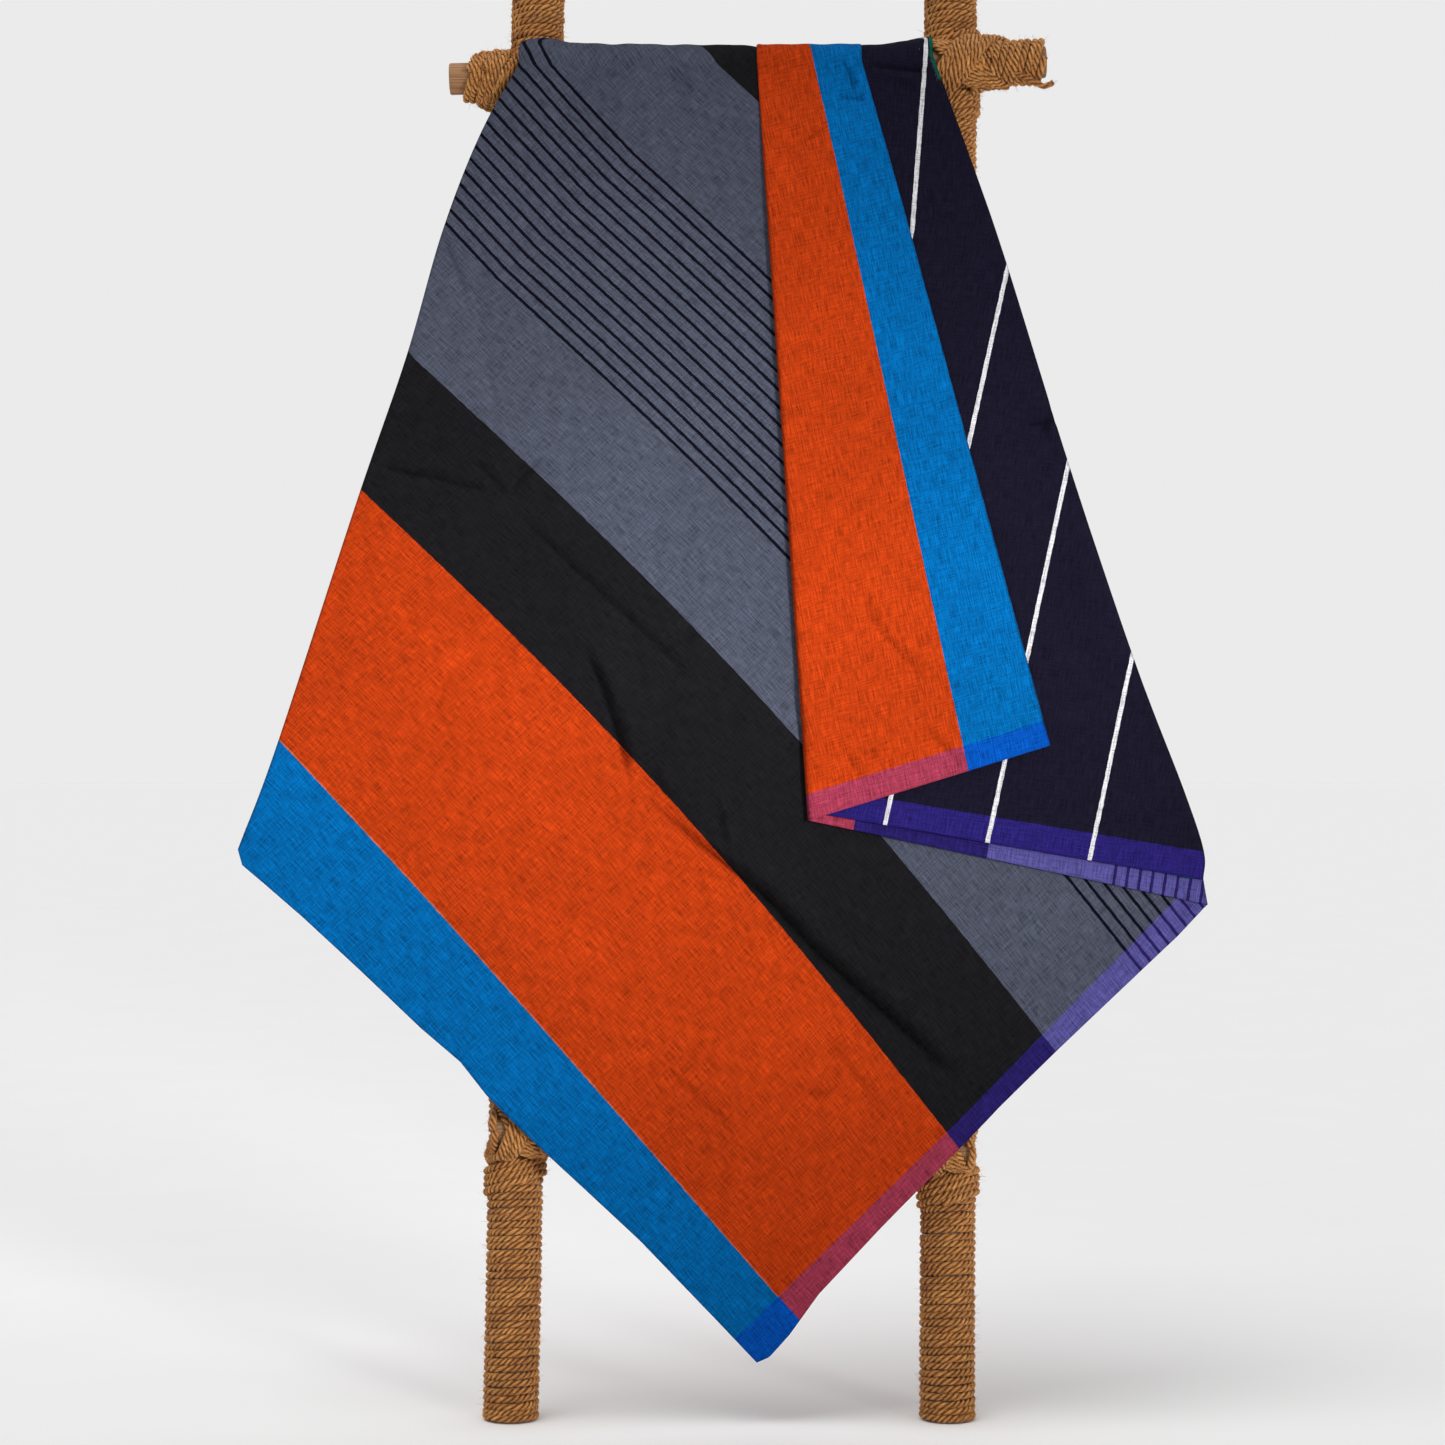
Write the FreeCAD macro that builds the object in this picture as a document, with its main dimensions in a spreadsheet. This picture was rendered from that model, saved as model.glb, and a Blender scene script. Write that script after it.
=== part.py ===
"""A striped cotton cloth draped over a rope-bound ladder rack.

Two round poles lean back on their flat-cut feet.  Four rungs cross in front of them, each
lashed to both poles with jute rope, and jute is wound round the poles between the lashings.
The folded cloth hangs over the top rung and lifts straight up off it.

Axes: +X to the right, +Y towards the wall behind, +Z up, the floor at z = 0.  The ladder has
axes of its own: across (X), forward (away from the wall) and up along the poles.
"""
import FreeCAD, Part
import os
import Sketcher

SIZES = [
    ("lean_angle", 8, "how far the poles lean back, degrees"),
    ("side_angle", 0.66, "how far the poles stand out of square, degrees"),
    ("origin_across", 0, "from the origin to the middle between the feet, set below"),
    ("origin_back", 0, "the same, towards the wall, set below"),
    ("pole_diameter", 35, "round wooden pole"),
    ("pole_length", 1313, "along the pole, from the floor"),
    ("pole_spacing", 372, "between the poles' axes"),
    ("pole_chamfer", 2, "at the top end"),
    ("rope_diameter", 6, "three-strand jute"),
    ("rope_clearance", 0.1, "between a winding and the wood inside it"),
    ("rope_floor_gap", 0.8, "the lowest winding stays off the floor"),
    ("bare_top", 6, "bare pole above the highest winding"),
    ("rung_diameter", 28, "round wooden rung"),
    ("rung_gap", 0.1, "between a rung and the poles behind it"),
    ("rung_chamfer", 1, "at both ends of a rung"),
    ("rung_1_height", 236, "along the ladder to the rung's middle"),
    ("rung_1_tilt", -1.3, "rung against square, degrees, right side down if negative"),
    ("rung_1_length", 406, ""),
    ("rung_1_centre", 0, "across"),
    ("rung_2_height", 551, ""),
    ("rung_2_tilt", 0.4, ""),
    ("rung_2_length", 406, ""),
    ("rung_2_centre", 0, ""),
    ("rung_3_height", 866, ""),
    ("rung_3_tilt", 0.9, ""),
    ("rung_3_length", 406, ""),
    ("rung_3_centre", 0, ""),
    ("rung_4_height", 1181.5, ""),
    ("rung_4_tilt", 2.4, ""),
    ("rung_4_length", 531, "the top rung stands out past both poles"),
    ("rung_4_centre", 4, ""),
    ("lashing_height", 70, "along the pole"),
    ("lashing_gap", 0.3, "between a lashing and the winding next to it"),
    ("lashing_inner_reach", 31, "along the rung, from the pole's axis to the middle"),
    ("lashing_outer_reach", 20, "along the rung, from the pole's axis outwards"),
    ("top_lashing_outer_reach", 31, "the same on the top rung"),
    ("left_end_bare", 7, "bare wood at the top rung's left end"),
    ("right_end_bare", 0.5, "bare wood at its right end"),
    ("cloth_front_gap", 53, "from the poles' axes forward to the cloth"),
    ("cloth_front_depth", 18, "all the folded layers of the front fall"),
    ("cloth_back_depth", 9.5, "the layers of the back fall"),
    ("cloth_crest_radius", 25, "outside of the bend over the top rung"),
    ("cloth_rung_radius", 15.5, "inside of that bend"),
    ("cloth_slot_height", 60, "how far down the bend's sides are open for the rung"),
    ("cloth_half_width", 142, "half the width that hangs between the poles"),
    ("top_left_across", -198, "outline of the front fall, across and up the ladder"),
    ("top_left_up", 1190, ""),
    ("top_right_across", 164, ""),
    ("top_right_up", 1202, ""),
    ("tip_across", 404, ""),
    ("tip_high_up", 477, ""),
    ("tip_low_up", 439, ""),
    ("bend_right_across", 196, "below this line the front fall hangs plumb"),
    ("bend_left_across", -167, ""),
    ("bend_up", 230, ""),
    ("bottom_across", 23, ""),
    ("bottom_up", 52, ""),
    ("corner_across", -428, ""),
    ("corner_up", 476, ""),
    ("shoulder_across", -232, ""),
    ("shoulder_up", 1111, ""),
    ("back_corner_across", -110, "lower corners of the back fall, from the rung's middle"),
    ("back_corner_fall", 280, "and below the rung's axis"),
    ("back_tip_across", 25, ""),
    ("back_tip_fall", 460, ""),
]

SIDES = {"left": "(-sizes.pole_spacing / 2)", "right": "(sizes.pole_spacing / 2)"}
RUNGS = (1, 2, 3, 4)
TOP_RUNG = 4
WIDE = 2000
DEEP = 200

doc = FreeCAD.newDocument("cloth_on_ladder_rack")
sheet = doc.addObject("Spreadsheet::Sheet", "sizes")
pieces = []


def fill_sheet():
    for row, (alias, value, note) in enumerate(SIZES, start=1):
        sheet.set(f"A{row}", alias)
        sheet.set(f"B{row}", str(value))
        sheet.set(f"C{row}", note)
        sheet.setAlias(f"B{row}", alias)
    doc.recompute()


def bind(thing, **expressions):
    """Bind properties of thing to expressions on the sheet's cells."""
    for name, expression in expressions.items():
        thing.setExpression(name, expression)


def spot(across="0", forward="0", up="0", pitch="0"):
    return f"placement(vector({across};-({forward});{up});rotation(0;{pitch};0))"


def on_ladder(thing, **where):
    thing.setExpression("Placement", "ladder_axes.Placement * " + spot(**where))


def finished(thing, label):
    """Name a finished sub-part, whose label names its file too."""
    thing.Label = label
    pieces.append(thing)
    return thing


def primitive(kind, name, **expressions):
    thing = doc.addObject(f"Part::{kind}", name)
    bind(thing, **expressions)
    return thing


def cut(name, base, tool):
    thing = doc.addObject("Part::Cut", name)
    thing.Base = base
    thing.Tool = tool
    return thing


def fuse(name, shapes):
    thing = doc.addObject("Part::MultiFuse", name)
    thing.Shapes = shapes
    return thing


def new_sketch(body, name, plane_role):
    sketch = body.newObject("Sketcher::SketchObject", name)
    plane = next(f for f in body.Origin.OriginFeatures if f.Role == plane_role)
    sketch.AttachmentSupport = [(plane, "")]
    sketch.MapMode = "FlatFace"
    return sketch


def add_circle(sketch, radius):
    """A circle round the sketch's origin, its radius bound to an expression."""
    centre = FreeCAD.Vector(0, 0, 0)
    circle = sketch.addGeometry(Part.Circle(centre, FreeCAD.Vector(0, 0, 1), 10), False)
    sketch.addConstraint(Sketcher.Constraint("Coincident", circle, 3, -1, 1))
    constraint = sketch.addConstraint(Sketcher.Constraint("Radius", circle, 10))
    sketch.setExpression(f"Constraints[{constraint}]", radius)


def add_outline(sketch, points):
    """A closed outline of straight edges; points are pairs of expressions."""
    start = [sheet_point(point) for point in points]
    lines = []
    for place, end in zip(start, start[1:] + start[:1]):
        lines.append(sketch.addGeometry(Part.LineSegment(place, end), False))
    for line, following in zip(lines, lines[1:] + lines[:1]):
        sketch.addConstraint(Sketcher.Constraint("Coincident", line, 2, following, 1))
    for line, place, point in zip(lines, start, points):
        for kind, value, expression in zip(("DistanceX", "DistanceY"), (place.x, place.y), point):
            constraint = sketch.addConstraint(Sketcher.Constraint(kind, -1, 1, line, 1, value))
            sketch.setExpression(f"Constraints[{constraint}]", expression)


def sheet_point(point):
    """The point that a pair of expressions gives now, as a vector in the sketch."""
    across, up = (sheet.evalExpression(expression.replace("sizes.", "")) for expression in point)
    return FreeCAD.Vector(float(across), float(up), 0)


def pad(body, sketch, name, length):
    thing = body.newObject("PartDesign::Pad", name)
    thing.Profile = sketch
    bind(thing, Length=length)
    return thing


def rod(name, radius, length, chamfer, both_ends):
    """A round bar along its body's +Z, chamfered at its far end or at both."""
    body = doc.addObject("PartDesign::Body", name)
    sketch = new_sketch(body, name + "_section", "XY_Plane")
    add_circle(sketch, radius)
    bar = pad(body, sketch, name + "_pad", length)
    doc.recompute()
    far = bar.Shape.BoundBox.ZMax
    edges = []
    for number, edge in enumerate(bar.Shape.Edges, start=1):
        box = edge.BoundBox
        is_rim = box.ZLength < 0.01
        if is_rim and (both_ends or abs(box.ZMax - far) < 0.01):
            edges.append(f"Edge{number}")
    rim = body.newObject("PartDesign::Chamfer", name + "_chamfer")
    rim.Base = (bar, edges)
    bind(rim, Size=chamfer)
    return body


def winding(name, core_diameter, length):
    """One layer of rope round a pole or rung: a tube along its body's +Z."""
    body = doc.addObject("PartDesign::Body", name)
    sketch = new_sketch(body, name + "_section", "XY_Plane")
    add_circle(sketch, f"{core_diameter} / 2 + sizes.rope_clearance")
    add_circle(sketch, f"{core_diameter} / 2 + sizes.rope_diameter")
    pad(body, sketch, name + "_pad", length)
    return body


def joint_height(rung, across):
    """Height along the ladder at which a rung crosses the pole at across."""
    return (f"(sizes.rung_{rung}_height + ({across} - sizes.rung_{rung}_centre)"
            f" * tan(sizes.rung_{rung}_tilt))")


def rung_forward():
    return "(sizes.pole_diameter / 2 + sizes.rung_diameter / 2 + sizes.rung_gap)"


def ladder_axes():
    axes = doc.addObject("Part::LocalCoordinateSystem", "ladder_axes")
    bind(axes, Placement="placement(vector(sizes.origin_across;sizes.origin_back;0);"
                         "rotation(0;sizes.side_angle;-sizes.lean_angle))")


def floor_box(name, top):
    """A block that reaches up to a height, to trim what would stand below it."""
    box = primitive("Box", name)
    box.Length = box.Width = WIDE
    box.Height = DEEP
    bind(box, Placement=f"placement(vector({-WIDE / 2};{-WIDE / 2};{top} - {DEEP});rotation(0;0;0))")
    return box


def rails(floor):
    """The poles, their feet cut level so that they stand flat while they lean."""
    for side, across in SIDES.items():
        pole = rod(f"{side}_pole", "sizes.pole_diameter / 2", "sizes.pole_length + 20",
                   "sizes.pole_chamfer", both_ends=False)
        on_ladder(pole, across=across, up="-20")
        finished(cut(f"{side}_rail_cut", pole, floor), f"{side}_rail")


def rungs():
    for rung in RUNGS:
        size = f"sizes.rung_{rung}"
        bar = rod(f"rung_{rung}_bar", "sizes.rung_diameter / 2", f"{size}_length",
                  "sizes.rung_chamfer", both_ends=True)
        on_ladder(bar, across=f"{size}_centre - {size}_length / 2 * cos({size}_tilt)",
                  forward=rung_forward(),
                  up=f"{size}_height - {size}_length / 2 * sin({size}_tilt)",
                  pitch=f"90 - {size}_tilt")
        finished(bar, "top_rung" if rung == TOP_RUNG else f"rung_{rung}")


def lashings():
    """Rope bound round each crossing: a sleeve on the pole joined to one on the rung."""
    for side, across in SIDES.items():
        for rung in RUNGS:
            name = f"{side}_lashing_{rung}"
            outer = "sizes.top_lashing_outer_reach" if rung == TOP_RUNG else "sizes.lashing_outer_reach"
            left, right = "sizes.lashing_inner_reach", outer
            if side == "left":
                left, right = right, left
            tilt = f"sizes.rung_{rung}_tilt"
            pole_rope = primitive("Cylinder", name + "_pole_rope", Height="sizes.lashing_height",
                                  Radius="sizes.pole_diameter / 2 + sizes.rope_diameter",
                                  Placement=spot(up="-sizes.lashing_height / 2"))
            pole_room = primitive("Cylinder", name + "_pole_room", Height="sizes.lashing_height * 2",
                                  Radius="sizes.pole_diameter / 2 + sizes.rope_clearance",
                                  Placement=spot(up="-sizes.lashing_height"))
            rung_rope = primitive("Cylinder", name + "_rung_rope", Height=f"{left} + {right}",
                                  Radius="sizes.rung_diameter / 2 + sizes.rope_diameter",
                                  Placement=spot(across=f"-{left} * cos({tilt})", forward=rung_forward(),
                                                 up=f"-{left} * sin({tilt})", pitch=f"90 - {tilt}"))
            rung_room = primitive("Cylinder", name + "_rung_room", Height="sizes.rung_1_length",
                                  Radius="sizes.rung_diameter / 2 + sizes.rope_clearance",
                                  Placement=spot(across=f"-sizes.rung_1_length / 2 * cos({tilt})",
                                                 forward=rung_forward(),
                                                 up=f"-sizes.rung_1_length / 2 * sin({tilt})",
                                                 pitch=f"90 - {tilt}"))
            rope = fuse(name + "_rope", [pole_rope, rung_rope])
            room = fuse(name + "_room", [pole_room, rung_room])
            lashing = cut(name + "_cut", rope, room)
            on_ladder(lashing, across=across, up=joint_height(rung, across))
            finished(lashing, name)


def pole_windings(floor):
    """Rope wound round the poles from the floor up, with a gap for each lashing."""
    for side, across in SIDES.items():
        for part in range(1, len(RUNGS) + 2):
            low, high = "-20", "sizes.pole_length - sizes.bare_top"
            if part > 1:
                low = f"{joint_height(part - 1, across)} + sizes.lashing_height / 2 + sizes.lashing_gap"
            if part <= len(RUNGS):
                high = f"{joint_height(part, across)} - sizes.lashing_height / 2 - sizes.lashing_gap"
            name = f"{side}_winding_{part}"
            rope = winding(name + "_rope", "sizes.pole_diameter", f"{high} - ({low})")
            on_ladder(rope, across=across, up=low)
            if part == 1:
                rope = cut(name + "_cut", rope, floor)
            finished(rope, name)


def end_windings():
    """Rope wound on the top rung's two ends, outside the poles."""
    size = f"sizes.rung_{TOP_RUNG}"
    reach = "(sizes.pole_spacing / 2 + sizes.top_lashing_outer_reach + sizes.lashing_gap)"
    spans = {
        "left": (f"({size}_centre - {size}_length / 2 + sizes.left_end_bare)", f"(-{reach})"),
        "right": (reach, f"({size}_centre + {size}_length / 2 - sizes.right_end_bare)"),
    }
    for side, (start, end) in spans.items():
        rope = winding(f"{side}_end_winding_rope", "sizes.rung_diameter", f"{end} - {start}")
        on_ladder(rope, across=start, forward=rung_forward(), up=joint_height(TOP_RUNG, start),
                  pitch=f"90 - {size}_tilt")
        finished(rope, f"{side}_end_winding")


def panel(name, points, depth, flip=False):
    """A flat panel standing in the XZ plane, its outline given across and up."""
    body = doc.addObject("PartDesign::Body", name)
    sketch = new_sketch(body, name + "_outline", "XZ_Plane")
    add_outline(sketch, points)
    pad(body, sketch, name + "_pad", depth).Reversed = flip
    return body


def outline(*corners):
    return [(f"sizes.{corner}_across", f"sizes.{corner}_up") for corner in corners]


def cloth():
    """The folded cloth: a front fall on the rungs, a bend over the top rung and a back fall."""
    size = f"sizes.rung_{TOP_RUNG}"
    bend = ("sizes.bend_right_across", "sizes.bend_up"), ("sizes.bend_left_across", "sizes.bend_up")
    upper = panel("cloth_front", outline("top_left", "top_right")
                  + [("sizes.tip_across", "sizes.tip_high_up"), ("sizes.tip_across", "sizes.tip_low_up")]
                  + list(bend) + outline("corner", "shoulder"), "sizes.cloth_front_depth")
    on_ladder(upper, forward="sizes.cloth_front_gap")

    drop = "(sizes.bend_up - sizes.bottom_up)"
    lower = panel("cloth_front_end",
                  [("sizes.bend_right_across", "0"), ("sizes.bend_left_across", "0"),
                   ("sizes.bottom_across", f"-{drop}")], "sizes.cloth_front_depth")
    bind(lower, Placement="placement(ladder_axes.Placement * vector(0;-sizes.cloth_front_gap;"
                          "sizes.bend_up);rotation(0;0;0))")

    axes = doc.addObject("Part::LocalCoordinateSystem", "crest_axes")
    bind(axes, Placement=f"placement(ladder_axes.Placement * vector({size}_centre;-{rung_forward()};"
                         f"{size}_height);rotation(0;sizes.side_angle - {size}_tilt;0))")
    along = "placement(vector(-{0};0;0);rotation(0;90;0))"
    crest = primitive("Cylinder", "cloth_crest", Radius="sizes.cloth_crest_radius",
                      Height="2 * sizes.cloth_half_width",
                      Placement="crest_axes.Placement * " + along.format("sizes.cloth_half_width"))
    back = panel("cloth_back",
                 [("-sizes.cloth_half_width", "0"), ("sizes.cloth_half_width", "0"),
                  ("sizes.back_tip_across", "-sizes.back_tip_fall"),
                  ("sizes.back_corner_across", "-sizes.back_corner_fall")],
                 "sizes.cloth_back_depth", flip=True)
    bind(back, Placement="placement(crest_axes.Placement * vector(0;sizes.cloth_rung_radius;0);"
                         "rotation(0;0;0))")
    rung_room = primitive("Cylinder", "cloth_rung_room", Radius="sizes.cloth_rung_radius",
                          Height=f"{size}_length",
                          Placement="crest_axes.Placement * " + along.format(f"({size}_length / 2)"))
    slot = primitive("Box", "cloth_slot", Length=f"{size}_length", Width="2 * sizes.cloth_rung_radius",
                     Height="sizes.cloth_slot_height",
                     Placement="crest_axes.Placement * placement(vector(-" + size + "_length / 2;"
                               "-sizes.cloth_rung_radius;-sizes.cloth_slot_height);rotation(0;0;0))")
    layers = fuse("cloth_layers", [upper, lower, crest, back])
    room = fuse("cloth_room", [rung_room, slot])
    finished(cut("cloth_cut", layers, room), "cloth")


def centre_on_origin():
    """Move the model so that the origin is at the middle of the whole model's footprint."""
    box = FreeCAD.BoundBox()
    for piece in pieces:
        box.add(piece.Shape.optimalBoundingBox(False))
    for alias, middle in (("origin_across", box.Center.x), ("origin_back", box.Center.y)):
        sheet.set(alias, str(round(-middle, 2)))
    doc.recompute()


def check_and_write():
    for thing in doc.Objects:
        if "Invalid" in thing.State or "Error" in thing.State:
            raise RuntimeError(f"{thing.Name} failed: {thing.State}")
    os.makedirs("parts", exist_ok=True)
    for piece in pieces:
        shape = piece.Shape
        if shape.isNull() or not shape.isValid() or not shape.Solids:
            raise RuntimeError(f"{piece.Label} has no valid solid")
        shape.exportStep(f"parts/{piece.Label}.step")
        print(f"{piece.Label}: {len(shape.Solids)} solid, {shape.Volume / 1000:.1f} cm3")


fill_sheet()
ladder_axes()
floor = floor_box("floor", "0")
rope_floor = floor_box("rope_floor", "sizes.rope_floor_gap")
rails(floor)
rungs()
lashings()
pole_windings(rope_floor)
end_windings()
cloth()
doc.recompute()
centre_on_origin()
check_and_write()
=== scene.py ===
"""The looks of a striped cotton cloth draped over a rope-bound ladder rack.

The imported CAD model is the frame.  The rails and rungs stay as they are and get a wood
material.  Every rope node is replaced by laid jute rope, and the cloth node by one folded sheet.

Lengths are millimetres unless a comment says otherwise.  The rack is laid out in the ladder's
own axes: across (to the right), forward (off the rails, towards the viewer) and up (along the
rails), from the middle between the feet.  Materials, lights and the camera are in metres.
"""
import math
from typing import Callable, NamedTuple

import bpy
import numpy as np
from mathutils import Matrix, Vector


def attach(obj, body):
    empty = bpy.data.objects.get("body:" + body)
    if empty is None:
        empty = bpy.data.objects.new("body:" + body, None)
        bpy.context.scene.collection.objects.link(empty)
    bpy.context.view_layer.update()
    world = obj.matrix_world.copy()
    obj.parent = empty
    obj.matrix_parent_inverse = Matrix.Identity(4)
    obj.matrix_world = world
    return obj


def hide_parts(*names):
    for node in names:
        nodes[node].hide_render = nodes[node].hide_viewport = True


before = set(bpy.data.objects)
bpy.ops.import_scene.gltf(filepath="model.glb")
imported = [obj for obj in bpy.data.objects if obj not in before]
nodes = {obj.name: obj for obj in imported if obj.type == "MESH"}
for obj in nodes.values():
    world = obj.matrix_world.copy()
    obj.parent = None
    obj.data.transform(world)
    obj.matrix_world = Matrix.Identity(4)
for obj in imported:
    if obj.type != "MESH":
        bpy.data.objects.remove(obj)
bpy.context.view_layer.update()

MM = 0.001
TURN = 2 * math.pi
LEAN = math.radians(8)        # of the rails, back towards the wall
SIDE = math.radians(0.66)     # of the rails, to the right
SIN, COS = math.sin(LEAN), math.cos(LEAN)

POLE_RADIUS = 17.5
POLE_AT = {"left": -186, "right": 186}
RUNG_RADIUS = 14
RUNG_FORWARD = 31.6
# Each rung: height, tilt in degrees, length and the place of its middle.
RUNGS = {1: (236, -1.3, 406, 0), 2: (551, 0.4, 406, 0),
         3: (866, 0.9, 406, 0), 4: (1181.5, 2.4, 531, 4)}
TOP_RUNG = 4

ROPE = 6
LAY = 17                      # length of one full twist of the rope's three strands
STEP = 1.9                    # between the rings of a rope's tube
ROPE_BOTTOM = 4.1             # the middle of the lowest turn, above the floor
ROPE_TOP = 1304               # the middle of the highest turn
LASHING = 70                  # height of a lashing on its pole
FIBRE_RADIUS = 0.13
FLOOR_GAP = 0.0002            # metres between the floor and what lies on it

# Every random draw comes from here, in the order in which the ropes are made.
random = np.random.default_rng(7)


def foot_middle():
    """The middle between the rails' feet, from the frame."""
    feet = []
    for name in ("left_rail", "right_rail"):
        points = np.array([v.co for v in nodes[name].data.vertices])
        feet.append(points[points[:, 2] < 1e-5].mean(axis=0))
    return (feet[0] + feet[1]) / 2


FEET = foot_middle()


def smooth(value, start, end):
    """0 before start, 1 after end, and a soft step between them."""
    t = np.clip((np.asarray(value, float) - start) / (end - start), 0, 1)
    return t * t * (3 - 2 * t)


def from_ladder(points):
    """Points in the ladder's axes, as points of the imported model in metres."""
    across, forward, up = np.asarray(points, float).T
    back = up * SIN - forward * COS
    height = forward * SIN + up * COS
    x = across * math.cos(SIDE) + height * math.sin(SIDE)
    z = height * math.cos(SIDE) - across * math.sin(SIDE)
    return np.stack([x, back, z], axis=1) * MM + FEET


def joint_height(rung, across):
    """How far up a rung's middle line is at a place across."""
    height, tilt, _, middle = RUNGS[rung]
    return height + (across - middle) * math.tan(math.radians(tilt))


def wave(t):
    """A smooth, uneven wave from -1 to 1."""
    return (np.sin(TURN * t) + np.sin(TURN * t * 0.618 + 1.3) + np.sin(TURN * t * 1.732 + 4.1)) / 3


def add_object(name, data):
    """A new object in the scene for a mesh, a light or a camera."""
    made = bpy.data.objects.new(name, data)
    bpy.context.scene.collection.objects.link(made)
    return made


# ------------ node material helpers

class Shader:
    """A short way to write a node material: each method adds a node and returns its output."""

    def __init__(self, name):
        self.material = bpy.data.materials.new(name)
        self.material.use_nodes = True
        self.tree = self.material.node_tree
        self.shader = self.tree.nodes["Principled BSDF"]

    def node(self, kind, inputs=(), output=0, **settings):
        made = self.tree.nodes.new("ShaderNode" + kind)
        for key, value in settings.items():
            setattr(made, key, value)
        for key, value in dict(inputs).items():
            self.feed(made.inputs[key], value)
        return made.outputs[output]

    def feed(self, socket, value):
        if isinstance(value, bpy.types.NodeSocket):
            self.tree.links.new(value, socket)
        else:
            socket.default_value = value

    def math(self, operation, first, second=0.0, third=0.0):
        return self.node("Math", {0: first, 1: second, 2: third}, operation=operation)

    def mix(self, share, first, second, blend="MIX"):
        return self.node("Mix", {0: share, 6: first, 7: second}, output=2, data_type="RGBA",
                         blend_type=blend)

    def ramp(self, value, stops, interpolation="LINEAR"):
        """A colour ramp; stops are pairs of a place from 0 to 1 and a colour or a grey."""
        output = self.node("ValToRGB", {0: value})
        ramp = output.node.color_ramp
        ramp.interpolation = interpolation
        while len(ramp.elements) < len(stops):
            ramp.elements.new(1)
        for element, (place, colour) in zip(ramp.elements, stops):
            element.position = place
            element.color = (*colour, 1) if hasattr(colour, "__len__") else (colour,) * 3 + (1,)
        return output

    def noise(self, vector, scale, detail, roughness):
        return self.node("TexNoise", {"Vector": vector, "Scale": scale, "Detail": detail,
                                      "Roughness": roughness})

    def stretched(self, vector, scale):
        return self.node("Mapping", {"Vector": vector, "Scale": scale})

    def bump(self, height, distance, strength, normal=None):
        inputs = {"Height": height, "Distance": distance, "Strength": strength}
        if normal is not None:
            inputs["Normal"] = normal
        return self.node("Bump", inputs)

    def multiply(self, colour, shade, share=1.0):
        return self.mix(share, colour, shade, "MULTIPLY")

    def finish(self, colour, roughness, normal, **constants):
        """Feed the shader; a constant is the same all over and set on its own socket."""
        self.feed(self.shader.inputs["Base Color"], colour)
        self.feed(self.shader.inputs["Roughness"], roughness)
        self.feed(self.shader.inputs["Normal"], normal)
        for key, value in constants.items():
            self.shader.inputs[key.replace("_", " ")].default_value = value
        return self.material


def srgb(red, green, blue):
    """A linear colour from 8-bit sRGB numbers."""
    return tuple(c / 12.92 if c <= 0.04045 else ((c + 0.055) / 1.055) ** 2.4
                 for c in (red / 255, green / 255, blue / 255))


WHITE = (1, 1, 1)


# ------------ materials

def jute():
    """Laid jute.  UV: x along the rope in metres, y round it, 0 to 3 over its three strands."""
    s = Shader("jute_rope")
    uv = s.node("UVMap", uv_map="rope")
    place = s.node("TexCoord", output=3)
    fibres = s.noise(s.stretched(uv, (200, 11, 1)), 1.0, 4, 0.65)
    fine = s.noise(s.stretched(uv, (500, 26, 1)), 1.0, 2, 0.6)
    patches = s.noise(place, 70, 3, 0.6)
    turns = s.noise(s.stretched(uv, (14, 0, 0)), 1.0, 3, 0.7)
    tone = s.math("ADD", s.math("MULTIPLY", fibres, 0.62), s.math("MULTIPLY", fine, 0.38))
    colour = s.ramp(tone, [(0.30, srgb(122, 72, 32)), (0.43, srgb(212, 138, 68)),
                           (0.53, srgb(250, 184, 100)), (0.68, srgb(255, 226, 156))])
    colour = s.multiply(colour, s.ramp(patches, [(0.3, srgb(224, 208, 192)), (0.6, WHITE)]), 0.8)
    shade = s.ramp(turns, [(0.32, srgb(212, 196, 182)), (0.62, srgb(255, 248, 236))])
    colour = s.multiply(colour, shade, 0.8)
    # Painted shade darkens the grooves between the three strands.
    round_it = s.node("SeparateXYZ", {0: uv}, output=1)
    uneven = s.math("MULTIPLY_ADD", fibres, 0.3, s.math("SUBTRACT", round_it, 0.15))
    groove_shade = s.math("PINGPONG", uneven, 0.5)
    colour = s.multiply(colour, s.ramp(groove_shade, [(0.22, WHITE), (0.46, srgb(132, 100, 70))]))
    return s.finish(colour, s.ramp(fibres, [(0.3, 0.95), (0.7, 0.7)]), s.bump(tone, 0.0013, 1.0),
                    Specular_IOR_Level=0.25, Sheen_Weight=0.12, Sheen_Roughness=0.6)


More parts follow.
